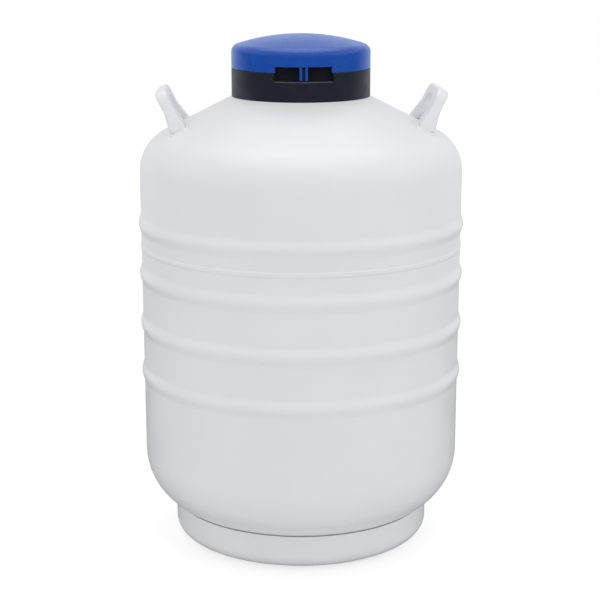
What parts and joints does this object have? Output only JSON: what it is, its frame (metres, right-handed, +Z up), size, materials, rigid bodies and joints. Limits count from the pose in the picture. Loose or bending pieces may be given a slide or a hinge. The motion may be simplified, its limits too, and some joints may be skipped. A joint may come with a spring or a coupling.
{
  "type": "liquid nitrogen dewar",
  "caption": "Upright white aluminium cryogenic dewar with ribbed can, two cast handles, black lock collar, blue lift-off cap with neck plug, and hanging canisters.",
  "frame": {"origin": "centre of the floor ring, on the floor", "axes": "+Z up along the vessel's axis; the lock window faces -Y; +X towards the right-hand handle"},
  "size_m": [0.4568, 0.4567, 0.7184],
  "materials": {
    "white_enamel": "satin white enamel on aluminium",
    "black_collar": "moulded, fine satin",
    "blue_cap": "moulded, satin gloss",
    "mill_aluminium": "spun, bare",
    "glass_fibre": "filament wound resin tube",
    "steel": "stainless, brushed",
    "white_plastic": "machined, natural",
    "foil_wrap": "foil and spacer layers",
    "adsorbent": "beads in a pan",
    "foam": "rigid closed-cell foam",
    "seal_rubber": "moulded ring"
  },
  "bodies": {
    "vessel": {"base_ring": "white_enamel", "lower_shell": "white_enamel", "girth_weld": "white_enamel", "upper_shell": "white_enamel", "left_handle": "white_enamel", "right_handle": "white_enamel", "lock_collar": "black_collar", "neck_flange": "mill_aluminium", "inner_neck_ring": "mill_aluminium", "inner_vessel_bottom": "mill_aluminium", "inner_vessel_top": "mill_aluminium", "inner_vessel_weld": "mill_aluminium", "adsorbent_tray": "mill_aluminium", "vacuum_port": "mill_aluminium", "port_cap": "mill_aluminium", "canister_spider": "mill_aluminium", "neck_tube": "glass_fibre", "collar_screws": "steel", "port_plug": "steel", "index_ring": "white_plastic", "insulation_blanket": "foil_wrap", "adsorbent_charge": "adsorbent", "port_seal": "seal_rubber"},
    "lid": {"cap": "blue_cap", "plug_plate": "white_plastic", "plug_skin": "glass_fibre", "plug_core": "foam", "plug_foot": "glass_fibre", "plug_screws": "steel"},
    "canister_unit_1": {"canister_1": "mill_aluminium", "lifting_rod_1": "steel"},
    "canister_unit_2": {"canister_2": "mill_aluminium", "lifting_rod_2": "steel"},
    "canister_unit_3": {"canister_3": "mill_aluminium", "lifting_rod_3": "steel"},
    "canister_unit_4": {"canister_4": "mill_aluminium", "lifting_rod_4": "steel"},
    "canister_unit_5": {"canister_5": "mill_aluminium", "lifting_rod_5": "steel"},
    "canister_unit_6": {"canister_6": "mill_aluminium", "lifting_rod_6": "steel"}
  },
  "joints": [
    {"name": "lid_lift", "type": "slide", "parent": "vessel", "child": "lid", "axis": [0, 0, 1], "range_m": [0, 0.2]},
    {"name": "canister_1_unhook", "type": "slide", "parent": "vessel", "child": "canister_unit_1", "axis": [0, 0, 1], "range_m": [0, 0.012]},
    {"name": "canister_2_unhook", "type": "slide", "parent": "vessel", "child": "canister_unit_2", "axis": [0, 0, 1], "range_m": [0, 0.012]},
    {"name": "canister_3_unhook", "type": "slide", "parent": "vessel", "child": "canister_unit_3", "axis": [0, 0, 1], "range_m": [0, 0.012]},
    {"name": "canister_4_unhook", "type": "slide", "parent": "vessel", "child": "canister_unit_4", "axis": [0, 0, 1], "range_m": [0, 0.012]},
    {"name": "canister_5_unhook", "type": "slide", "parent": "vessel", "child": "canister_unit_5", "axis": [0, 0, 1], "range_m": [0, 0.012]},
    {"name": "canister_6_unhook", "type": "slide", "parent": "vessel", "child": "canister_unit_6", "axis": [0, 0, 1], "range_m": [0, 0.012]}
  ]
}
